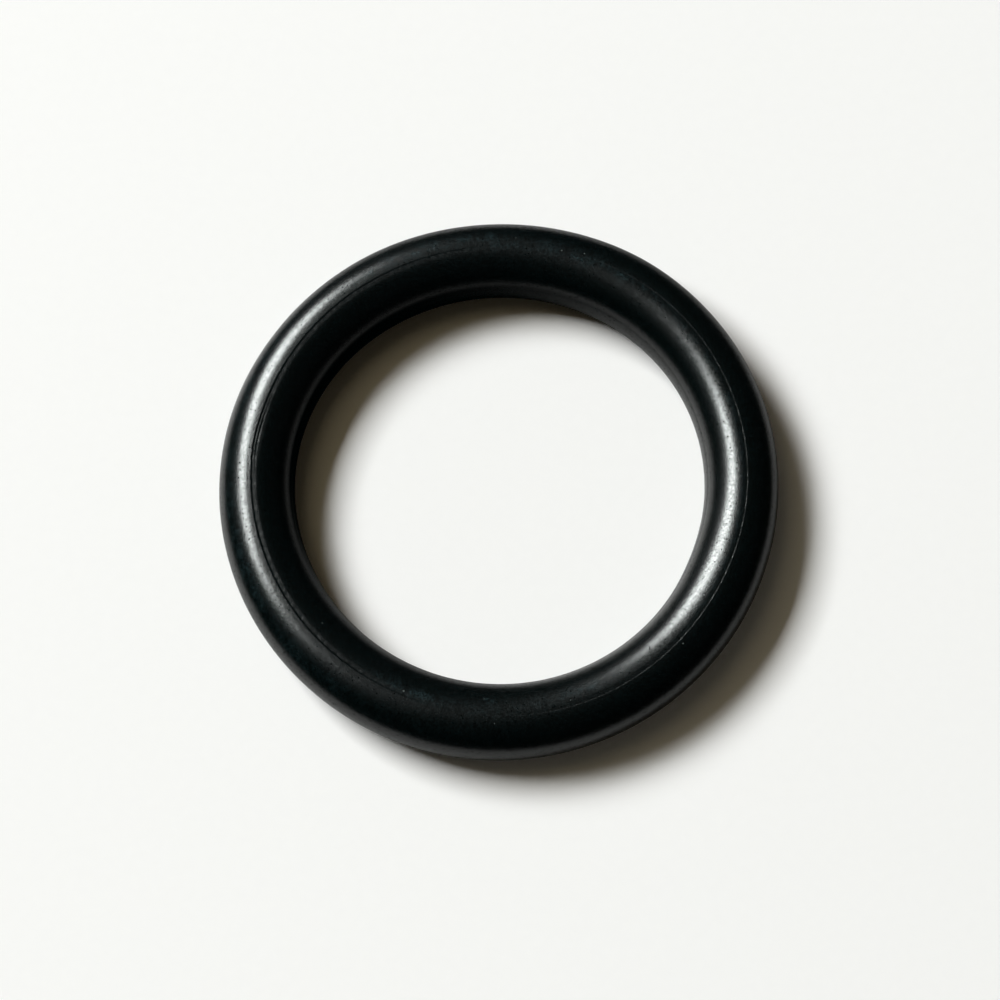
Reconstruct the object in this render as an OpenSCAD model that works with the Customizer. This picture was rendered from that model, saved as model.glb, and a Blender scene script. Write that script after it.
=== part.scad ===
// Rubber o-ring, lying flat as it comes to rest.
// Millimetres, Z up. The origin is the ring's centre, on the plane that it lies on.

/* [Ring] */
// Inside diameter, across the innermost points of the tube
inner_d = 22; // [10:0.5:60]
// Diameter of the tube's round section
section_d = 4; // [2:0.1:8]

/* [Parting line] */
// Angle of the line round the section, from the top of the tube towards the outside
line_angle = 4.5; // [3:0.5:40]
// Width of the fine trough that is left where the two mould halves met
line_w = 0.12; // [0.06:0.01:0.3]
// Depth of that trough below the round of the section
line_depth = 0.03; // [0.01:0.01:0.08]

/* [Hidden] */

tube_r = section_d / 2;
// Radius of the circle that the middle of the tube follows
ring_r = inner_d / 2 + tube_r;
section_fn = 120;
sweep_fn = 240;

// One trough seen end on: a V that is open at the top of the section
module trough() {
    polygon([
        [0, tube_r - line_depth],
        [line_w / 2, tube_r],
        [line_w / 2, tube_r + line_w],
        [-line_w / 2, tube_r + line_w],
        [-line_w / 2, tube_r]
    ]);
}

// The tube's section: a full circle with a trough on each side, where the mould halves met
module tube_section() {
    difference() {
        circle(r = tube_r, $fn = section_fn);
        for (turn = [0, 180])
            rotate(turn - line_angle)
                trough();
    }
}

// The ring is that section carried once round, and it rests on the lowest circle of the tube
module o_ring() {
    color("#16191b")
        translate([0, 0, tube_r])
            rotate_extrude($fn = sweep_fn)
                translate([ring_r, 0])
                    tube_section();
}

o_ring();
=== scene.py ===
# %% [markdown]
# A black rubber o-ring lies flat on white card, lit by soft panels from the upper left. The
# ring is a single moulded piece: a round tube carried once round a circle. This lesson takes
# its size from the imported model, makes the fine surface that the camera sees, gives it a satin
# black rubber, and then sets the card, the lights and the camera round it.

# %% Load the fixed frame
import math

import bpy
import numpy as np
from mathutils import Matrix, Vector


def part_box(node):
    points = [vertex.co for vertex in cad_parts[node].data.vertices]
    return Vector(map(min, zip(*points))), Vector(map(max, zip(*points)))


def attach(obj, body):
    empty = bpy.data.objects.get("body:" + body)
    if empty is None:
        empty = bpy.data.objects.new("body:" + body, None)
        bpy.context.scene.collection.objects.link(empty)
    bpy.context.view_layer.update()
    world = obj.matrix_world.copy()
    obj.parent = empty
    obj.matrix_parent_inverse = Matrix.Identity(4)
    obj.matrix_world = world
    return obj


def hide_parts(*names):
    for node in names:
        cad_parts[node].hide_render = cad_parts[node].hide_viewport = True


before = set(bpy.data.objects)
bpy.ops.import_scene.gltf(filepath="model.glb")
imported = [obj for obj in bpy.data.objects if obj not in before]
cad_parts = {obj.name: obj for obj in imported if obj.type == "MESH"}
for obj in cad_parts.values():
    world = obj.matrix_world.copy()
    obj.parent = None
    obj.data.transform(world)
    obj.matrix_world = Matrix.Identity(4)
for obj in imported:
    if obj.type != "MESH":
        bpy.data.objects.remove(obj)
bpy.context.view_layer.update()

# %% [markdown]
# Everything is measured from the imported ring, so the looks can't drift away from the part.
# The height of a ring that lies flat is the diameter of its tube. Half of what is left of the
# outside width, once one tube is taken off, is the circle that the middle of the tube follows.

# %% Sizes of the ring
# A millimetre in Blender's metres
MM = 0.001
ring_low, ring_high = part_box("o_ring")
OUTSIDE_D = ring_high.x - ring_low.x
TUBE_R = (ring_high.z - ring_low.z) / 2
RING_R = OUTSIDE_D / 2 - TUBE_R
print(f"outside {OUTSIDE_D / MM:.2f} mm, tube {2 * TUBE_R / MM:.2f} mm")
print(f"the middle circle is {2 * RING_R / MM:.2f} mm across")

# %% [markdown]
# A soft ring that is dropped on a table never lies quite true. It is a hair out of round, and
# its tube rolls a few degrees one way and back, which carries the parting line with it. Each
# of these is a slow change that closes on itself after one turn, so a few cosine waves with a
# whole number of crests give it, and nothing has to be drawn by hand. The section is a hair
# oval too, by a fifteenth of a millimetre, and the oval leans about halfway outwards, less at
# the far side and more at the near side. No edge shows that, but it tips the crest inwards by
# three to four degrees, and the bright bands move with it. At three places a rim swells by up
# to as much again, and at one it sinks a little, as rubber does where the mould was filled
# too full or not quite full.

# %% Slow waves round the ring
# Each wave is its number of crests, its height and the phase of its first crest in degrees.
# The waves of a lean have their height in degrees as well.
OUT_OF_ROUND = [(3, 0.039 * MM, 102)]
TUBE_WAVES = [(1, 0.026 * MM, 180), (2, 0.018 * MM, 90)]
OVAL_SHARE = 0.032
OVAL_LEAN = 45
OVAL_WAVES = [(1, 18, 270)]
LINE_LEAN = 5.5
LINE_WAVES = [(1, 2.5, -11), (2, 0.95, 46), (3, 1.15, 145), (5, 0.4, -55), (6, 0.34, -44)]
# Each swelling is its turn, its lean and its half length in degrees, and its height
SWELLINGS = [
    (54, 75, 13, 0.045 * MM),
    (112, 75, 13, 0.028 * MM),
    (144, 75, 10, -0.018 * MM),
    (335, -75, 12, 0.065 * MM),
]
SWELLING_HALF_LEAN = 30


def slow_waves(turn, waves):
    """Sum of cosine waves: height times the cosine of crests times the turn, less the phase."""
    total = np.zeros_like(turn)
    for crests, height, phase in waves:
        total = total + height * np.cos(crests * turn - np.radians(phase))
    return total


def hump(x, middle, width):
    """A bell that is 1 at its middle and falls away as exp(-(distance / width) squared)."""
    return np.exp(-(((x - middle) / width) ** 2))


def angle_hump(angle, middle, width):
    """The same bell round a circle. The angle comes in radians, the middle and the width in
    degrees, and the distance is the shorter way round."""
    away = (np.degrees(angle) - middle + 180) % 360 - 180
    return hump(away, 0, width)


def swelling_height(turn, lean):
    """Sum of bells, each at its own turn and lean."""
    total = np.zeros_like(turn)
    for at_turn, at_lean, half_turn, height in SWELLINGS:
        bell = angle_hump(turn, at_turn, half_turn) * angle_hump(lean, at_lean, SWELLING_HALF_LEAN)
        total = total + height * bell
    return total


lean_test = LINE_LEAN + slow_waves(np.radians(np.arange(360.0)), LINE_WAVES)
print(f"the parting line leans {lean_test.min():.1f} to {lean_test.max():.1f} degrees outwards")

# %% [markdown]
# The two mould halves met in a line that runs near the crest, and again opposite it underneath.
# Seen across, it isn't a plain groove. The flash was trimmed and rubbed down, which left a flat
# a few tenths of a millimetre wide on each side, and the two flats don't meet: going outwards,
# the inner one sinks below the round of the tube, the surface steps up at the line itself, and
# the outer one sinks back to the round. Each flat shines at one even level, and the steep step
# is a dark line where the light comes from outside the tube, and a pale one where it comes
# from inside. A cut by Boolean would be too sharp, so all of it is added to the radius.

# %% Section of the parting line
STEP_W = 0.026 * MM
INNER_FLAT_W = 0.270 * MM
# How far beyond the line the inner flat would be level
INNER_FLAT_MIDDLE = 0.087 * MM
OUTER_FLAT_W = 0.185 * MM


def smooth_step(x, width):
    """Rises from 0 to 1 round x = 0 as half of one plus the hyperbolic tangent of x / width."""
    return 0.5 + 0.5 * np.tanh(x / width)


def parting_profile(across, depth):
    """Height of the surface across the line, outwards positive. Seen from the round tube, a flat
    is a parabola: the distance from where it is level, squared, over twice the tube's radius.
    The inner flat ends at the line, the outer one starts there, and a tanh step joins them."""
    inner = np.clip(across, -INNER_FLAT_W, 0) - INNER_FLAT_MIDDLE
    outer = np.clip(across, 0, OUTER_FLAT_W) - OUTER_FLAT_W
    inner_height = (inner**2 - (INNER_FLAT_W + INNER_FLAT_MIDDLE) ** 2) / (2 * TUBE_R)
    outer_height = outer**2 / (2 * TUBE_R)
    step = smooth_step(across, STEP_W)
    return depth * (inner_height * (1 - step) + outer_height * step)


step_test = parting_profile(np.array([-0.1, 0.1]) * MM, 1.0)
print(f"across the line the surface steps up by {(step_test[1] - step_test[0]) / MM:.3f} mm")

# %% [markdown]
# The line is worn and uneven. It is deepest on the left and a third as deep on the right. It
# jogs inwards by a fifteenth of a millimetre at one place. It splits in two over a short
# stretch on the left, where it also strays outwards, and it fades where the two halves met
# well, at the far side and at the near side. Quick small waves with unrelated crest counts
# stand for the torn, beaded edge that is left when the flash is trimmed.

# %% Wear of the line along the ring
# Each stretch of the ring is its turn and its half length, in degrees
DEEP_STRETCH = (180, 70)
DEPTH_LEAST = 0.36
FAR_FADE_STRETCH = (76, 19)
FAR_FADE = 0.75
NEAR_FADE_STRETCH = (256, 16)
NEAR_FADE = 0.55
SPLIT_STRETCH = (165, 6)
SPLIT_W = 0.150 * MM
SPLIT_DEPTH = 0.8
STRAY_STRETCH = (168, 6)
STRAY = 0.045 * MM
JOG_STRETCH = (245, 17)
JOG = -0.065 * MM
UNDER_DEPTH = 0.8
# Each quick wave is its number of crests, its height and its start in radians
RAGGED_WAVES = [(97, 0.004 * MM, 0), (141, 0.004 * MM, 2), (233, 0.004 * MM, 1)]
BEAD_WAVES = [(61, 0.14, 1), (173, 0.20, 0), (267, 0.18, 2)]


def quick_waves(turn, waves):
    """Sum of sine waves: height times the sine of crests times the turn, plus the start."""
    total = np.zeros_like(turn)
    for crests, height, start in waves:
        total = total + height * np.sin(crests * turn + start)
    return total


def line_shift(turn):
    """How far the line runs beside its slow path: a jog, a stray at the split, small waves."""
    jog = JOG * angle_hump(turn, *JOG_STRETCH)
    stray = STRAY * angle_hump(turn, *STRAY_STRETCH)
    return jog + stray + quick_waves(turn, RAGGED_WAVES)


def line_depth(turn):
    """How strong the line is: 1 on the left, DEPTH_LEAST on the right, weaker still where it
    fades, with uneven beads."""
    side = DEPTH_LEAST + (1 - DEPTH_LEAST) * angle_hump(turn, *DEEP_STRETCH)
    fade = 1 - FAR_FADE * angle_hump(turn, *FAR_FADE_STRETCH)
    fade = fade - NEAR_FADE * angle_hump(turn, *NEAR_FADE_STRETCH)
    return side * fade * (1 + quick_waves(turn, BEAD_WAVES))


depth_test = line_depth(np.radians(np.arange(0, 360, 0.1)))
print(f"the line has {depth_test.min():.2f} to {depth_test.max():.2f} of its full depth")

# %% [markdown]
# Low on the inner flank there is a second, fainter mark all the way round, where the core of
# the mould ended. The rubber is drawn in a little above it, and steps back to the round of the
# tube at the mark. On the right it shows as a pale band with a thin dark line under it.

# %% Core line, low on the inner flank
CORE_AT = -78
CORE_DEPTH = 0.030 * MM
CORE_HOLLOW_W = 0.40 * MM
CORE_STEP_W = 0.07 * MM


def core_profile(down):
    """Height across the core line, downwards positive: a hollow that deepens as the square of
    the way down to the line, times a tanh step back to the round."""
    hollow = np.clip(1 + down / CORE_HOLLOW_W, 0, 1) ** 2
    return -CORE_DEPTH * hollow * (1 - smooth_step(down, CORE_STEP_W))


core_test = core_profile(np.linspace(-0.4, 0.2, 61) * MM)
print(f"the hollow above the core line is {-core_test.min() / MM:.3f} mm deep")

# %% [markdown]
# The mesh is one grid wrapped both ways: round the ring, and round the tube. Rows of the grid
# follow the parting line, so that its thin step always has enough faces across it. They are
# close together at the core line too, and widely spaced on the plain part of the tube, where
# the smooth normals hide the faces. The rows are closed into loops, so there is no seam and
# no pole.

# %% Rows round the tube
TURNS = 820
FINE_HALF = 0.46 * MM
FINE_ROWS = 46
FINE_EASE = 0.22
UNDER_HALF = 0.25 * MM
UNDER_ROWS = 14
CORE_HALF = 0.24 * MM
CORE_ROWS = 10
OUTER_ROWS = 25
INNER_LOW_ROWS = 15
INNER_HIGH_ROWS = 10
CROWDING = 0.35


def plain_rows(start, end, count):
    """Rows between two groups of close rows: CROWDING times a cosine ease, which draws them
    together towards both ends, plus the rest times an even spread."""
    even = np.linspace(0, 1, count + 2)[1:-1]
    ease = (1 - np.cos(np.pi * even)) / 2
    return start + (end - start) * (CROWDING * ease + (1 - CROWDING) * even)


def tube_rows():
    """Angles round the tube from the line. The fine rows lie at FINE_EASE times an even count
    plus the rest times its cube, so they crowd at the line."""
    even = np.linspace(-1, 1, FINE_ROWS)
    fine = FINE_HALF * (FINE_EASE * even + (1 - FINE_EASE) * even**3) / TUBE_R
    under = np.pi + np.linspace(-UNDER_HALF, UNDER_HALF, UNDER_ROWS) / TUBE_R
    core = 2 * np.pi + np.radians(CORE_AT) + np.linspace(-CORE_HALF, CORE_HALF, CORE_ROWS) / TUBE_R
    outer = plain_rows(fine[-1], under[0], OUTER_ROWS)
    inner_low = plain_rows(under[-1], core[0], INNER_LOW_ROWS)
    inner_high = plain_rows(core[-1], fine[0] + 2 * np.pi, INNER_HIGH_ROWS)
    return np.concatenate([fine, outer, under, inner_low, core, inner_high])


rows = tube_rows()
print(f"{TURNS} rows along the ring, {len(rows)} round the tube, {2 * TURNS * len(rows)} triangles")

# %% [markdown]
# Now the whole surface in one formula. For each point the turn says how far round the ring it
# is, and the lean how far it tips outwards from the crest of the tube. The ring rests on the
# card all the way round, so where the tube is a little deeper its middle is a little higher,
# and what would reach below the card is pressed flat against it.

# %% Surface of the ring
SHIFT_REACH = 3 * FINE_HALF


def line_height(turn, around):
    """Height of all the lines together: the parting line, its twin at the split, the line
    underneath and the core line, each by its own distance round the tube."""
    across = around * TUBE_R
    under = (np.pi - around) * TUBE_R
    down = (2 * np.pi + np.radians(CORE_AT) - around) * TUBE_R
    strength = line_depth(turn)
    split = SPLIT_DEPTH * angle_hump(turn, *SPLIT_STRETCH)
    height = parting_profile(across, strength) + parting_profile(across + SPLIT_W, split)
    return height + parting_profile(under, UNDER_DEPTH * strength) + core_profile(down)


def slow_lean(turn, around):
    """Lean of a row in radians, before the line's own shift: its angle plus the slow roll."""
    return around + np.radians(LINE_LEAN + slow_waves(turn, LINE_WAVES))


def ring_surface(turn, around):
    """Point on a wavy torus. The middle circle is RING_R plus its waves. The reach from it is
    the tube, which is TUBE_R plus its waves, times one plus OVAL_SHARE times the cosine of
    twice the angle from the oval's own lean, plus the lines and the swellings. The lean is the
    slow one plus the line's shift, which dies away from the line as a bell."""
    shift = line_shift(turn) * hump(around * TUBE_R, 0, SHIFT_REACH)
    lean = slow_lean(turn, around) + shift / TUBE_R
    tube = TUBE_R + slow_waves(turn, TUBE_WAVES)
    oval_lean = np.radians(OVAL_LEAN + slow_waves(turn, OVAL_WAVES))
    reach = tube * (1 + OVAL_SHARE * np.cos(2 * (lean - oval_lean)))
    reach = reach + line_height(turn, around) + swelling_height(turn, lean)
    height = tube * (1 + OVAL_SHARE * np.cos(2 * oval_lean))
    middle = RING_R + slow_waves(turn, OUT_OF_ROUND)
    out = middle + reach * np.sin(lean)
    up = np.maximum(height + reach * np.cos(lean), 0)
    return np.stack([out * np.cos(turn), out * np.sin(turn), up], axis=-1)


turn_grid, row_grid = np.meshgrid(np.arange(TURNS) * 2 * np.pi / TURNS, rows, indexing="ij")
ring_points = ring_surface(turn_grid, row_grid)
print(f"the surface is {ring_points[..., 2].max() / MM:.3f} mm high")

# %% [markdown]
# The points become a mesh in one go: Blender takes them all at once, with the numbers of the
# four corners of each face. Modelling the ring by hand from a torus would give the same faces,
# but not at these places. The volume inside tells whether the faces point outwards, as they
# have to for the light to fall on them rightly.

# %% Mesh of the ring


def wrapped_faces(count_a, count_b):
    """Corner numbers of a grid that closes both ways: each face takes the point, its neighbour
    round the tube, the one beyond on the next ring row, and the one back."""
    a, b = np.meshgrid(np.arange(count_a), np.arange(count_b), indexing="ij")
    next_a = (a + 1) % count_a
    next_b = (b + 1) % count_b
    corners = [a * count_b + b, a * count_b + next_b, next_a * count_b + next_b, next_a * count_b + b]
    return np.stack(corners, axis=-1).reshape(-1, 4)


def mesh_object(name, points, faces):
    """Fills a mesh from arrays, sets it smooth and links its object at the origin."""
    mesh = bpy.data.meshes.new(name)
    mesh.from_pydata(points.reshape(-1, 3), [], faces)
    mesh.polygons.foreach_set("use_smooth", np.ones(len(faces), dtype=bool))
    mesh.update()
    piece = bpy.data.objects.new(name, mesh)
    bpy.context.scene.collection.objects.link(piece)
    return piece


def signed_volume(mesh):
    """Volume inside a closed mesh, positive when its faces point outwards: the sum over the
    triangles of the triple product of their corners, divided by six."""
    mesh.calc_loop_triangles()
    index = np.empty(len(mesh.loop_triangles) * 3, dtype=np.int32)
    mesh.loop_triangles.foreach_get("vertices", index)
    points = np.empty(len(mesh.vertices) * 3)
    mesh.vertices.foreach_get("co", points)
    a, b, c = points.reshape(-1, 3)[index.reshape(-1, 3)].transpose(1, 0, 2)
    return float(np.einsum("ij,ij->i", a, np.cross(b, c)).sum() / 6)


ring = mesh_object("moulded_ring", ring_points, wrapped_faces(TURNS, len(rows)))
print(f"ring volume {signed_volume(ring.data) / MM**3:.1f} cubic mm, above 0 when faces point out")

# %% [markdown]
# The rubber below needs no UV map, because Object coordinates and values on the points place
# its finish. The ring gets one for whoever prints a mark on it or bakes its finish later: one
# side of the map is the way round the ring and the other the way round the tube. A map that is
# kept per face corner can end at 1 and start again at 0 without a smeared face between.

# %% UV map along and round the tube


def wrapped_uv(count, places):
    """For each corner of each grid face, the share of the turn and the share round the tube.
    The last face each way takes its far corners at 1 instead of going back to 0."""
    step = np.arange(count + 1) / count
    share = np.append(places, places[0] + 2 * np.pi) / (2 * np.pi)
    share = share - share[0]
    a, b = np.meshgrid(np.arange(count), np.arange(len(places)), indexing="ij")
    u = np.stack([step[a], step[a], step[a + 1], step[a + 1]], axis=-1)
    v = np.stack([share[b], share[b + 1], share[b + 1], share[b]], axis=-1)
    return np.stack([u, v], axis=-1).reshape(-1, 2)


uv = wrapped_uv(TURNS, rows)
ring.data.uv_layers.new(name="along_tube").data.foreach_set("uv", uv.ravel())
print("uv map made, from", uv.min(axis=0), "to", uv.max(axis=0))

# %% [markdown]
# Handling leaves broad marks on rubber: a thin greyish film where fingers and other parts have
# rubbed it. On this ring the clearest are on the crest at the far side and at the near side,
# and fainter ones lie on the right of the crest. The broad mark on the outer flank of the left,
# which faces the light, is partly film and partly painted sheen: its pale colour lightens the
# lit flank where the wide edge of the bright band would fall. They are all soft and large, so
# they are kept as a value on each point of the mesh, which the material then breaks up with
# fine noise.

# %% Film marks and painted sheen as a value on the mesh
# Each mark is its turn and its lean, its half length and its half width, all in degrees, and
# its strength
FILM_AND_SHEEN_MARKS = [
    (92, 18, 20, 9, 0.9),
    (112, 14, 10, 7, 1.0),
    (62, 2, 14, 9, 1.0),
    (88, 2, 10, 6, 0.5),
    (244, -10, 9, 8, 0.9),
    (263.5, -22, 1.4, 8, 1.2),
    (254, -2, 12, 6, 0.7),
    (285, -12, 9, 8, 1.0),
    (20, -2, 30, 7, 0.5),
    (335, -2, 25, 6, 0.5),
    # The last mark lies on the outer flank of the left, which faces the light: partly film, partly
    # painted sheen
    (185, 42, 45, 13, 0.7),
]


def film_and_sheen_value(turn, lean):
    """Sum of bells, each at its own turn and lean, capped at 1."""
    total = np.zeros_like(turn)
    for at_turn, at_lean, half_turn, half_lean, strength in FILM_AND_SHEEN_MARKS:
        bell = angle_hump(turn, at_turn, half_turn) * angle_hump(lean, at_lean, half_lean)
        total = total + strength * bell
    return np.minimum(total, 1)


lean_grid = slow_lean(turn_grid, row_grid)
# The value is handling film, and painted sheen on the lit outer flank of the left
film_and_sheen = film_and_sheen_value(turn_grid, lean_grid)
ring.data.attributes.new("film_and_sheen", "FLOAT", "POINT").data.foreach_set("value", film_and_sheen.ravel())
print(f"film from {film_and_sheen.min():.2f} to {film_and_sheen.max():.2f}, {film_and_sheen.mean():.2f} on average")

# %% [markdown]
# The shine isn't even either. The crest is shiny all the way round, and so are the flanks that
# face the upper left. Outside, the flanks that face the other way keep a third of it. Inside
# they keep a fifth, and low down nothing at all, because no finger rubs there, but for a
# stretch at the lower left. Some of the bloom is rubbed away besides: a sixth of it on the
# left, about a third on two stretches of the outer rim, at the far side, and most of it in a
# narrow band halfway down the inner flank of the near side. A second value on the points says
# how shiny the rubber is, by the way that the flank faces, by how far it is from the crest and
# by the turn.

# %% Shine as a value on the mesh
# The turn that the shiniest flanks face, in degrees, and how fast the shine falls off from it
SHINE_TURN = 150
SHINE_SPREAD = 2.5
LEAST_OUTSIDE = 0.34
LEAST_INSIDE = 0.20
# Each change from one part to the next is from one lean to another, in degrees from the crest
CREST_TO_FLANK = (28, 48)
FLANK_TO_LOW = (56, 68)
FLANK_TO_RIM = (34, 50)
LOW_POWER = 4
LOW_SHINE_STRETCH = (225, 28)
RUBBED_STRETCH = (184, 24)
RUBBED = 0.16
INNER_WORN_STRETCH = (250, 72)
INNER_WORN_BAND = (-45, 9)
INNER_WORN = 0.90
# Each worn stretch of the outer rim is its turn and its half length in degrees, and the share
# of the bloom that is gone
RIM_WORN = [(52, 18, 0.28), (108, 20, 0.38)]


def ease_between(x, low, high):
    """0 below low, 1 above high, and 3 t squared less 2 t cubed between them."""
    t = np.clip((x - low) / (high - low), 0, 1)
    return t * t * (3 - 2 * t)


def shine_value(turn, lean):
    """1 on the crest. On a flank it eases to the least shine plus the rest times the power
    SHINE_SPREAD of half of one plus the cosine of the turn between the way the flank faces
    and SHINE_TURN. Low inside, it eases to 0 as the power LOW_POWER of 1 less that, but not on
    LOW_SHINE_STRETCH. What is rubbed away is a sum of bells, each at its own turn."""
    tip = (np.degrees(lean) + 180) % 360 - 180
    inside = tip < 0
    faces = turn + np.where(inside, np.pi, 0)
    toward = (0.5 + 0.5 * np.cos(faces - np.radians(SHINE_TURN))) ** SHINE_SPREAD
    least = np.where(inside, LEAST_INSIDE, LEAST_OUTSIDE)
    flank_shine = least + (1 - least) * toward
    low = np.where(inside, ease_between(np.abs(tip), *FLANK_TO_LOW), 0) * (1 - toward) ** LOW_POWER
    low = low * (1 - angle_hump(turn, *LOW_SHINE_STRETCH))
    flank = ease_between(np.abs(tip), *CREST_TO_FLANK)
    rubbed = RUBBED * angle_hump(turn, *RUBBED_STRETCH)
    inner_band = hump(tip, *INNER_WORN_BAND)
    rubbed = rubbed + INNER_WORN * angle_hump(turn, *INNER_WORN_STRETCH) * inner_band
    rim = ease_between(tip, *FLANK_TO_RIM)
    for at_turn, half_turn, share in RIM_WORN:
        rubbed = rubbed + share * angle_hump(turn, at_turn, half_turn) * rim
    return (1 - flank * (1 - flank_shine)) * (1 - low) * (1 - rubbed)


shine = shine_value(turn_grid, lean_grid)
ring.data.attributes.new("shine", "FLOAT", "POINT").data.foreach_set("value", shine.ravel())
print(f"shine from {shine.min():.2f} to {shine.max():.2f}, {shine.mean():.2f} on average")

# %% [markdown]
# The mould was blasted, and its grain shows unevenly. On the crest the bloom fills the grain
# and only frosts the bright bands, but for the right side, where it shows most. On the flanks,
# and at the far and near sides where nothing bright is mirrored, the bare tops of the grain
# show as faint sparks. Low on the tube it is smooth again. A third value on the points says
# how strongly the grain shows.

# %% Grit as a value on the mesh
GRIT_CREST = 0.42
GRIT_FLANK = 0.66
GRIT_LOW = 0.25
GRIT_ENDS = 0.62
GRIT_RIGHT = 0.90
GRIT_TO_FLANK = (24, 40)
GRIT_TO_LOW = (48, 60)
FAR_STRETCH = (85, 26)
NEAR_STRETCH = (268, 24)
RIGHT_STRETCH = (0, 60)
RIGHT_BAND = (0, 9)


def grit_value(turn, lean):
    """GRIT_CREST on the crest, easing to GRIT_FLANK on the flanks, to GRIT_ENDS at the far side
    and the near side as two bells along the ring, and to GRIT_RIGHT on the very crest of its
    right side as a bell both ways. Low on the tube it eases to GRIT_LOW."""
    tip = np.abs((np.degrees(lean) + 180) % 360 - 180)
    across = GRIT_CREST + (GRIT_FLANK - GRIT_CREST) * ease_between(tip, *GRIT_TO_FLANK)
    ends = np.maximum(angle_hump(turn, *FAR_STRETCH), angle_hump(turn, *NEAR_STRETCH))
    value = across + (GRIT_ENDS - across) * ends
    right = angle_hump(turn, *RIGHT_STRETCH) * hump(tip, *RIGHT_BAND)
    value = value + (GRIT_RIGHT - value) * right
    return value + (GRIT_LOW - value) * ease_between(tip, *GRIT_TO_LOW)


grit = grit_value(turn_grid, lean_grid)
ring.data.attributes.new("grit", "FLOAT", "POINT").data.foreach_set("value", grit.ravel())
print(f"grit from {grit.min():.2f} to {grit.max():.2f}")

# %% [markdown]
# Materials next, built from a few small helpers. Every pattern is placed by Object
# coordinates in millimetres, so its scale is simply how many of it fit in a millimetre.

# %% Node helpers


def new_material(name):
    """An empty node material with its output and one Principled shader."""
    material = bpy.data.materials.new(name)
    material.use_nodes = True
    material.node_tree.nodes.clear()
    output = material.node_tree.nodes.new("ShaderNodeOutputMaterial")
    shader = material.node_tree.nodes.new("ShaderNodeBsdfPrincipled")
    material.node_tree.links.new(shader.outputs["BSDF"], output.inputs["Surface"])
    return material, shader


def maths(tree, operation, first, second=None, third=None):
    """One Math node. Numbers are set on it, sockets are linked to it."""
    node = tree.nodes.new("ShaderNodeMath")
    node.operation = operation
    for socket, value in zip(node.inputs, (first, second, third)):
        if value is None:
            continue
        if isinstance(value, (int, float)):
            socket.default_value = value
        else:
            tree.links.new(value, socket)
    return node.outputs[0]


def noise(tree, vector, scale, detail=2.0, roughness=0.5):
    """One Noise Texture on a vector, giving its value from 0 to 1."""
    node = tree.nodes.new("ShaderNodeTexNoise")
    node.inputs["Scale"].default_value = scale
    node.inputs["Detail"].default_value = detail
    node.inputs["Roughness"].default_value = roughness
    tree.links.new(vector, node.inputs["Vector"])
    return node.outputs["Fac"]


def remap(tree, value, low, high, to_low=0.0, to_high=1.0):
    """Map Range with its ends clamped: low to high becomes to_low to to_high."""
    node = tree.nodes.new("ShaderNodeMapRange")
    node.inputs["From Min"].default_value = low
    node.inputs["From Max"].default_value = high
    node.inputs["To Min"].default_value = to_low
    node.inputs["To Max"].default_value = to_high
    tree.links.new(value, node.inputs["Value"])
    return node.outputs["Result"]


def millimetres(tree):
    """Object coordinates in millimetres, so that every scale below is so many per millimetre."""
    place = tree.nodes.new("ShaderNodeTexCoord")
    scale = tree.nodes.new("ShaderNodeMapping")
    scale.inputs["Scale"].default_value = (1 / MM, 1 / MM, 1 / MM)
    tree.links.new(place.outputs["Object"], scale.inputs["Vector"])
    return scale.outputs["Vector"]


# %% [markdown]
# The rubber itself is a dead matt blue-black. All its shine comes from the thin waxy bloom
# that moulded rubber sweats out, which is what the shader's coat stands for: a film with its
# own roughness over the black. The mould's blasted grain thins the bloom by a random share for
# each grain, over a bump of a few thousandths of a millimetre, which breaks the bright bands
# into fine sparks. Handling leaves a greyish film that dulls the bloom, and the same pale colour
# on the lit outer flank of the left is painted sheen. Tiny pits, where grains of dirt lay in
# the mould, show as dark dots in the bands. A few deeper pits and a few specks of dust lie
# where the photo shows them.

# %% Colours and sizes of the rubber's finish
RUBBER_DEEP = (0.0001, 0.0009, 0.0008, 1)
RUBBER_PALE = (0.0004, 0.0034, 0.0038, 1)
# Pale film colour; on the lit outer flank of the left the same colour is painted sheen
RUBBER_FILM_AND_SHEEN = (0.016, 0.032, 0.036, 1)
RUBBER_ROUGH = 0.55
BLOOM_ROUGH = 0.25
BLOOM_IOR = 1.80
GRAIN_PER_MM = 16.0
GRAIN_H = 0.0060 * MM
# Random values of a grain between which it goes from the deep black to the pale one
GRAIN_PALE = (0.4, 1.0)
RIPPLE_PER_MM = 2.2
RIPPLE_H = 0.0060 * MM
FILM_PER_MM = 1.3
# Noise values between which the film goes from none to whole
FILM_EDGE = (0.44, 0.62)
# Two random values of a grain, and the share of the film that it takes at each
FILM_ON_GRAIN = (0.2, 0.9, 0.1, 1.0)
FILM_AND_SHEEN_COVER = 0.9
FILM_DULLS = 0.35
PITS_PER_MM = 4.5
# Where a pit's floor ends and where its edge ends, as shares of the way from one to the next
PIT_EDGE = (0.096, 0.224)
DUST_GREY = (0.085, 0.105, 0.100, 1)
# Each speck or pit is its turn and its lean in degrees, and its radius in millimetres
DUST_SPECKS = [
    (65.7, 12, 0.045),
    (71, 6.3, 0.045),
    (243.2, -2.5, 0.06),
    (283, -3, 0.035),
    (312.2, 13.7, 0.05),
    (265.1, 17.5, 0.035),
    (217, -19, 0.035),
    (82, 17, 0.03),
    (262.5, -23, 0.03),
]
DEEP_PITS = [
    (172.5, 23, 0.07),
    (176, 24, 0.07),
    (6, -17, 0.06),
    (3, -16.5, 0.06),
    (10, -18, 0.05),
]
print(f"a grain is {1 / GRAIN_PER_MM:.3f} mm wide, and there are {len(DUST_SPECKS)} specks of dust")

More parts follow.
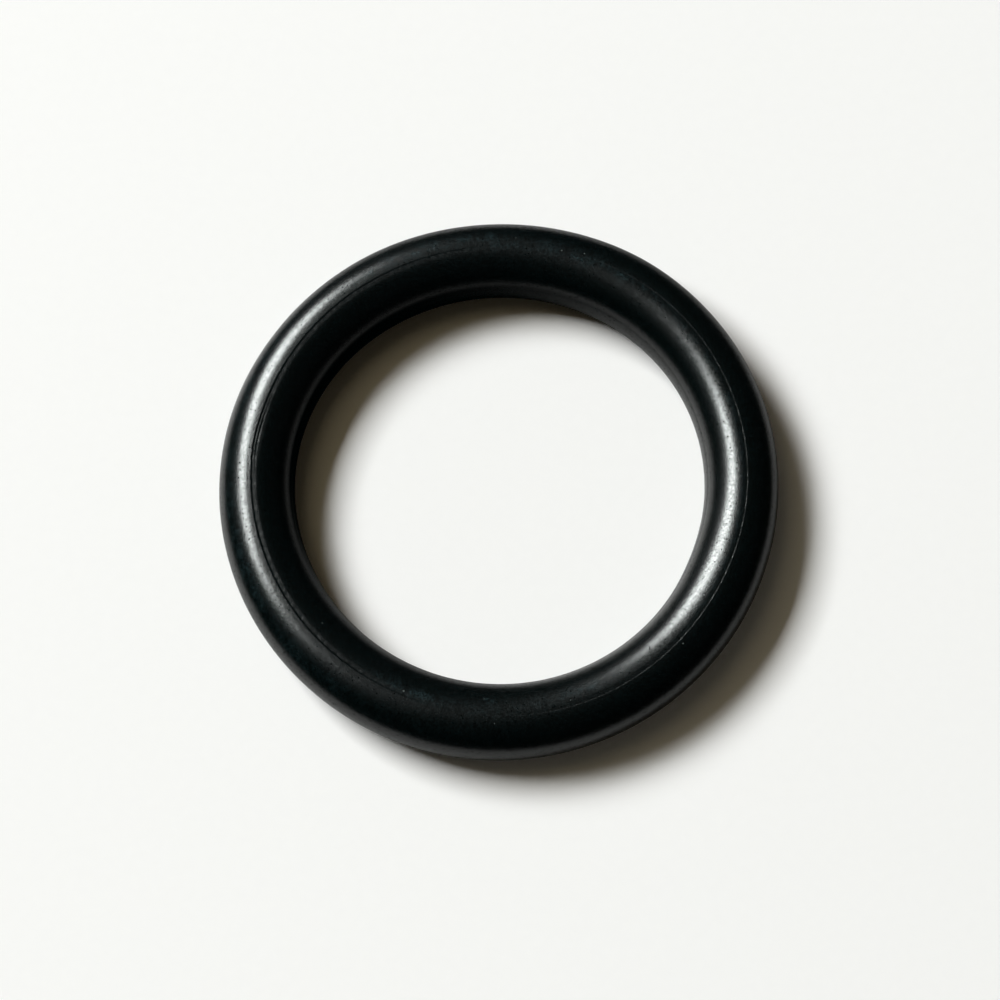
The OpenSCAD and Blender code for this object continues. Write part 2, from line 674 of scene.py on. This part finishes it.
# %% [markdown]
# Each of these marks is one small pattern. The cells of a Voronoi texture give each grain of
# the blasted mould its own random value, noise gives the ripples, and the distance from a
# point gives a round pit or a round speck of dust. A painted picture could hold them too, but
# it would blur from near by, while a pattern stays sharp.

# %% Patterns on the rubber


def bump(tree, height, distance, before=None):
    """One Bump node of a real height in metres, on top of the one before it."""
    node = tree.nodes.new("ShaderNodeBump")
    node.inputs["Strength"].default_value = 1.0
    node.inputs["Distance"].default_value = distance
    tree.links.new(height, node.inputs["Height"])
    if before is not None:
        tree.links.new(before, node.inputs["Normal"])
    return node.outputs["Normal"]


def mix_colour(tree, share, first, second):
    """Mix of two colours by a share from 0 to 1. A Mix node that is set to colours takes them
    on its inputs 6 and 7 and gives the result on its output 2."""
    node = tree.nodes.new("ShaderNodeMix")
    node.data_type = "RGBA"
    tree.links.new(share, node.inputs["Factor"])
    for socket, colour in ((node.inputs[6], first), (node.inputs[7], second)):
        if isinstance(colour, tuple):
            socket.default_value = colour
        else:
            tree.links.new(colour, socket)
    return node.outputs[2]


def mesh_value(tree, name):
    """One of the values that were stored on the points of the mesh."""
    node = tree.nodes.new("ShaderNodeAttribute")
    node.attribute_name = name
    return node.outputs["Fac"]


def blasted_grain(tree, place):
    """A random value from 0 to 1 for each grain: the cells of a Voronoi pattern, one channel
    of their random colours."""
    cells = tree.nodes.new("ShaderNodeTexVoronoi")
    cells.inputs["Scale"].default_value = GRAIN_PER_MM
    tree.links.new(place, cells.inputs["Vector"])
    channels = tree.nodes.new("ShaderNodeSeparateColor")
    tree.links.new(cells.outputs["Color"], channels.inputs["Color"])
    return channels.outputs["Red"]


def rubber_normal(tree, place):
    """Ripples, then fine roughness, each as a bump on the one before."""
    normal = bump(tree, noise(tree, place, RIPPLE_PER_MM), RIPPLE_H)
    return bump(tree, noise(tree, place, GRAIN_PER_MM), GRAIN_H, normal)


def mould_pits(tree, place):
    """0 in the middle of each small pit and 1 off it, from the distance to scattered points."""
    spots = tree.nodes.new("ShaderNodeTexVoronoi")
    spots.inputs["Scale"].default_value = PITS_PER_MM
    tree.links.new(place, spots.inputs["Vector"])
    return remap(tree, spots.outputs["Distance"], *PIT_EDGE)


def on_ring(turn, lean):
    """The point of the ring at a turn and a lean in degrees, in millimetres."""
    turn = np.radians([turn])
    around = np.radians(lean - LINE_LEAN - slow_waves(turn, LINE_WAVES))
    return tuple(ring_surface(turn, around)[0] / MM)


def scattered_spots(tree, place, spots):
    """1 inside round spots, fading to 0 over their outer half: the largest of their values.
    Each spot is a turn and a lean in degrees, and a radius in millimetres."""
    total = None
    for turn, lean, radius in spots:
        away = tree.nodes.new("ShaderNodeVectorMath")
        away.operation = "DISTANCE"
        tree.links.new(place, away.inputs[0])
        away.inputs[1].default_value = on_ring(turn, lean)
        value = remap(tree, away.outputs["Value"], 0.5 * radius, radius, 1.0, 0.0)
        total = value if total is None else maths(tree, "MAXIMUM", total, value)
    return total


crest_test = on_ring(90, 0)
print(f"the far crest is {crest_test[1]:.2f} mm from the middle and {crest_test[2]:.2f} mm high")

# %% [markdown]
# The patterns meet in one Principled shader. Its base is nearly black, a little paler on some
# grains and where the film lies, which on the lit outer flank of the left is painted sheen. Its
# coat is the bloom, and each thing that thins the bloom multiplies its weight: the wear of the
# flanks, the grain, the film, the pits and the dust.

# %% Moulded black rubber


def rubber_material():
    """Matt black rubber under its bloom, with grain, ripples, handling marks that are partly painted
    sheen, and mould pits.
    """
    material, shader = new_material("moulded_black_rubber")
    tree = material.node_tree
    place = millimetres(tree)
    grit = mesh_value(tree, "grit")
    grain = blasted_grain(tree, place)
    patchy = remap(tree, noise(tree, place, FILM_PER_MM, detail=5.0, roughness=0.7), *FILM_EDGE)
    patchy = maths(tree, "MULTIPLY", patchy, remap(tree, grain, *FILM_ON_GRAIN))
    film_and_sheen_share = maths(tree, "MULTIPLY", mesh_value(tree, "film_and_sheen"), patchy)
    black = mix_colour(tree, remap(tree, grain, *GRAIN_PALE), RUBBER_DEEP, RUBBER_PALE)
    # The pale colour mixed in here is handling film, and painted sheen on the lit outer flank of the
    # left
    colour = mix_colour(tree, maths(tree, "MULTIPLY", film_and_sheen_share, FILM_AND_SHEEN_COVER), black, RUBBER_FILM_AND_SHEEN)
    dust = scattered_spots(tree, place, DUST_SPECKS)
    tree.links.new(mix_colour(tree, dust, colour, DUST_GREY), shader.inputs["Base Color"])
    worn = maths(tree, "MULTIPLY", maths(tree, "SUBTRACT", 1.0, grain), grit)
    bloom = maths(tree, "MULTIPLY", mesh_value(tree, "shine"), maths(tree, "SUBTRACT", 1.0, worn))
    bloom = maths(tree, "MULTIPLY", bloom, maths(tree, "MULTIPLY_ADD", film_and_sheen_share, -FILM_DULLS, 1.0))
    bloom = maths(tree, "MULTIPLY", bloom, mould_pits(tree, place))
    holes = maths(tree, "MAXIMUM", dust, scattered_spots(tree, place, DEEP_PITS))
    bloom = maths(tree, "MULTIPLY", bloom, maths(tree, "SUBTRACT", 1.0, holes))
    tree.links.new(bloom, shader.inputs["Coat Weight"])
    normal = rubber_normal(tree, place)
    tree.links.new(normal, shader.inputs["Normal"])
    tree.links.new(normal, shader.inputs["Coat Normal"])
    shader.inputs["Roughness"].default_value = RUBBER_ROUGH
    shader.inputs["Coat Roughness"].default_value = BLOOM_ROUGH
    shader.inputs["Coat IOR"].default_value = BLOOM_IOR
    shader.inputs["Specular IOR Level"].default_value = 0.0
    return material


ring.data.materials.append(rubber_material())
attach(ring, "root")
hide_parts("o_ring")
print("the ring has its rubber and rides on the part's one body")

# %% [markdown]
# The ring lies on smooth white card. Its colour alone makes the background white, with no
# extra light on the ring. It is wide enough to pass out of view on all sides, so it needs no
# backdrop. It is made in two parts that join without a step. The near one shows in the sides
# of the tube as the grey bands beside the black. The far one is kept out of the rubber's
# reflections, because above those bands the photo's rubber mirrors nothing but a dark room.

# %% White card
# Radius in metres of the near part and of the whole
CARD_R = 24 * MM
BENCH_R = 1.6
CARD_STEPS = 96
CARD_WHITE = (0.928, 0.950, 0.947, 1)
CARD_ROUGH = 0.9
MOTTLE_PER_MM = 1.6
MOTTLE_EDGE = (0.3, 0.7)
MOTTLE = 0.004


def flat_circle(radius):
    """Points at even turns on a circle at the height of the table."""
    turn = np.arange(CARD_STEPS) * 2 * np.pi / CARD_STEPS
    return np.stack([radius * np.cos(turn), radius * np.sin(turn), np.zeros(CARD_STEPS)], axis=-1)


def card_disc():
    """The near card as one face."""
    return flat_circle(CARD_R), np.arange(CARD_STEPS).reshape(1, -1)


def card_round():
    """The rest of it: a flat band from the near card's edge to BENCH_R, one face for each step."""
    first = np.arange(CARD_STEPS)
    after = (first + 1) % CARD_STEPS
    faces = np.stack([first, first + CARD_STEPS, after + CARD_STEPS, after], axis=-1)
    return np.concatenate([flat_circle(CARD_R), flat_circle(BENCH_R)]), faces


def card_material():
    """White card: matt, with the faintest mottle in its tone."""
    material, shader = new_material("white_card")
    tree = material.node_tree
    mottle = remap(tree, noise(tree, millimetres(tree), MOTTLE_PER_MM, detail=3.0), *MOTTLE_EDGE)
    light = tuple(c * (1 + MOTTLE) for c in CARD_WHITE[:3]) + (1,)
    dark = tuple(c * (1 - MOTTLE) for c in CARD_WHITE[:3]) + (1,)
    tree.links.new(mix_colour(tree, mottle, dark, light), shader.inputs["Base Color"])
    shader.inputs["Roughness"].default_value = CARD_ROUGH
    shader.inputs["Specular IOR Level"].default_value = 0.0
    return material


CARD_FINISH = card_material()
for name, (points, faces) in (("near_card", card_disc()), ("far_card", card_round())):
    card = mesh_object(name, points, faces)
    card.data.materials.append(CARD_FINISH)
    card.visible_glossy = name == "near_card"
print(f"near card {2 * CARD_R / MM:.0f} mm across, all of it {2 * BENCH_R:.1f} m")

# %% [markdown]
# Three soft panels light the set, all from the upper left. The key panel lights the card and
# casts the shadow: its height above the table sets how long the shadow is, and its size how
# soft. The strip is the panel that shows in the rubber as the two long bright bands, and its
# level is a little above the key's. A dim warm panel, nearly overhead, lifts the shadow but
# can't reach the corner between the ring and the card, which stays black. Each lamp is
# switched off for the kind of ray that it isn't for, as a flag would keep it off in a studio,
# so shadow and shine can be set one at a time.

# %% Soft panels
# How far off the panels are, in metres
AWAY = 1.70
# Each panel is its name, its turn and its rise, half its long side, half its short side and its
# slant, all in degrees, its level, its colour, and whether it shows in shiny things
PANELS = [
    ("key_panel", 146.0, 45.6, 14.0, 9.0, 6, 0.95, (1, 1, 1), False),
    ("strip", 138.2, 44.6, 21.6, 9.8, 43, 1.10, (0.95, 1, 0.98), True),
    ("warm_fill", 150.0, 68.0, 14.0, 14.0, 0, 0.06, (1, 0.80, 0.50), False),
]


def direction(turn, rise):
    """Unit vector that points at a turn from +X and a rise above the table, in degrees."""
    turn, rise = math.radians(turn), math.radians(rise)
    return Vector((math.cos(rise) * math.cos(turn), math.cos(rise) * math.sin(turn), math.sin(rise)))


def soft_panel(name, turn, rise, half_long, half_short, slant, level, colour, in_gloss):
    """A rectangular lamp that faces the ring. Its half sizes are angles seen from the ring, its
    slant turns its long side up from level, and its power gives that level on the card: level
    times (pi times the distance) squared, over the sine of the rise."""
    towards = direction(turn, rise)
    level_side = Vector((-math.sin(math.radians(turn)), math.cos(math.radians(turn)), 0))
    up_side = towards.cross(level_side)
    side = level_side * math.cos(math.radians(slant)) + up_side * math.sin(math.radians(slant))
    lamp = bpy.data.lights.new(name, "AREA")
    lamp.shape = "RECTANGLE"
    lamp.size = 2 * AWAY * math.tan(math.radians(half_long))
    lamp.size_y = 2 * AWAY * math.tan(math.radians(half_short))
    lamp.energy = level * (math.pi * AWAY) ** 2 / math.sin(math.radians(rise))
    lamp.color = colour
    panel = bpy.data.objects.new(name, lamp)
    turned = Matrix((side, towards.cross(side), towards)).transposed().to_4x4()
    panel.matrix_world = Matrix.Translation(towards * AWAY) @ turned
    panel.visible_glossy = in_gloss
    panel.visible_diffuse = not in_gloss
    bpy.context.scene.collection.objects.link(panel)
    return lamp


for panel in PANELS:
    lamp = soft_panel(*panel)
    print(f"{lamp.name}: {lamp.size:.2f} x {lamp.size_y:.2f} m, {lamp.energy:.1f} W")

# %% [markdown]
# The room is dark: the black sides of the rubber show nothing in them. Only a low warm light
# fills the shadow. The shiny rubber sees less of it than the card does, as it would in a
# room whose few pale things are too far off to make a reflection of their own, so the world
# is one level for reflections and another for the rest. It brightens towards the horizon,
# which keeps a plain pale background in a low view.

# %% Dim warm room
ROOM_LIGHT = (0.030, 0.024, 0.015, 1)
ROOM_REFLECTED = (0.006, 0.007, 0.007, 1)
HORIZON_WHITE = (0.96, 0.95, 0.92, 1)
WHITE_UP_TO = 0.12
DIM_FROM = 0.18


def dim_room():
    """World colour by direction: the room's own level, mixed to white in a thin low band."""
    world = bpy.data.worlds.new("dim_room")
    world.use_nodes = True
    tree = world.node_tree
    background = tree.nodes["Background"]
    rays = tree.nodes.new("ShaderNodeLightPath")
    place = tree.nodes.new("ShaderNodeTexCoord")
    parts = tree.nodes.new("ShaderNodeSeparateXYZ")
    tree.links.new(place.outputs["Generated"], parts.inputs["Vector"])
    low_band = remap(tree, parts.outputs["Z"], WHITE_UP_TO, DIM_FROM, 1.0, 0.0)
    room = mix_colour(tree, low_band, ROOM_LIGHT, HORIZON_WHITE)
    level = mix_colour(tree, rays.outputs["Is Glossy Ray"], room, ROOM_REFLECTED)
    tree.links.new(level, background.inputs["Color"])
    background.inputs["Strength"].default_value = 1.0
    return world


bpy.context.scene.world = dim_room()
bpy.context.scene.view_settings.view_transform = "Standard"

# %% [markdown]
# The camera looks down on the ring from the near side, 18 degrees off the vertical, through a
# long lens, which is why the far side of the tube looks nearly as thick as the near side.
# It is turned a few degrees about its own axis, and aimed a little short of the centre, as
# the photographer framed it.

# %% Camera
# Angles are in degrees, lengths in metres, and the picture is measured in pixels
CAMERA_TILT = 18.08
CAMERA_AWAY = 18 * RING_R
CAMERA_ROLL = -4.2
NEAREST_SEEN = 0.01
PICTURE = 1000
RING_R_PIXELS = 242.19
CENTRE_PIXEL = (499.3, 487.1)
SENSOR_MM = 36.0


def set_camera():
    """Places the camera on its tilted line through the middle of the tube, and aims it at the
    point whose picture is the middle of the frame."""
    tilt = math.radians(CAMERA_TILT)
    roll = math.radians(CAMERA_ROLL)
    back = Vector((0, -math.sin(tilt), math.cos(tilt)))
    level = Vector((1, 0, 0))
    top = back.cross(level)
    right = math.cos(roll) * level + math.sin(roll) * top
    upright = -math.sin(roll) * level + math.cos(roll) * top
    metres = RING_R / RING_R_PIXELS
    centre = Vector((0, 0, TUBE_R))
    aim = centre + right * metres * (PICTURE / 2 - CENTRE_PIXEL[0])
    aim = aim - upright * metres * (PICTURE / 2 - CENTRE_PIXEL[1])
    place = centre + back * CAMERA_AWAY
    view_back = (place - aim).normalized()
    view_right = upright.cross(view_back).normalized()
    view_up = view_back.cross(view_right)
    data = bpy.data.cameras.new("camera")
    data.sensor_width = SENSOR_MM
    data.lens = SENSOR_MM * CAMERA_AWAY / (metres * PICTURE)
    data.clip_start = NEAREST_SEEN
    camera = bpy.data.objects.new("camera", data)
    axes = Matrix((view_right, view_up, view_back)).transposed().to_4x4()
    camera.matrix_world = Matrix.Translation(place) @ axes
    bpy.context.scene.collection.objects.link(camera)
    bpy.context.scene.camera = camera
    return data.lens


print(f"lens {set_camera():.1f} mm, camera {CAMERA_AWAY / MM:.0f} mm from the ring")
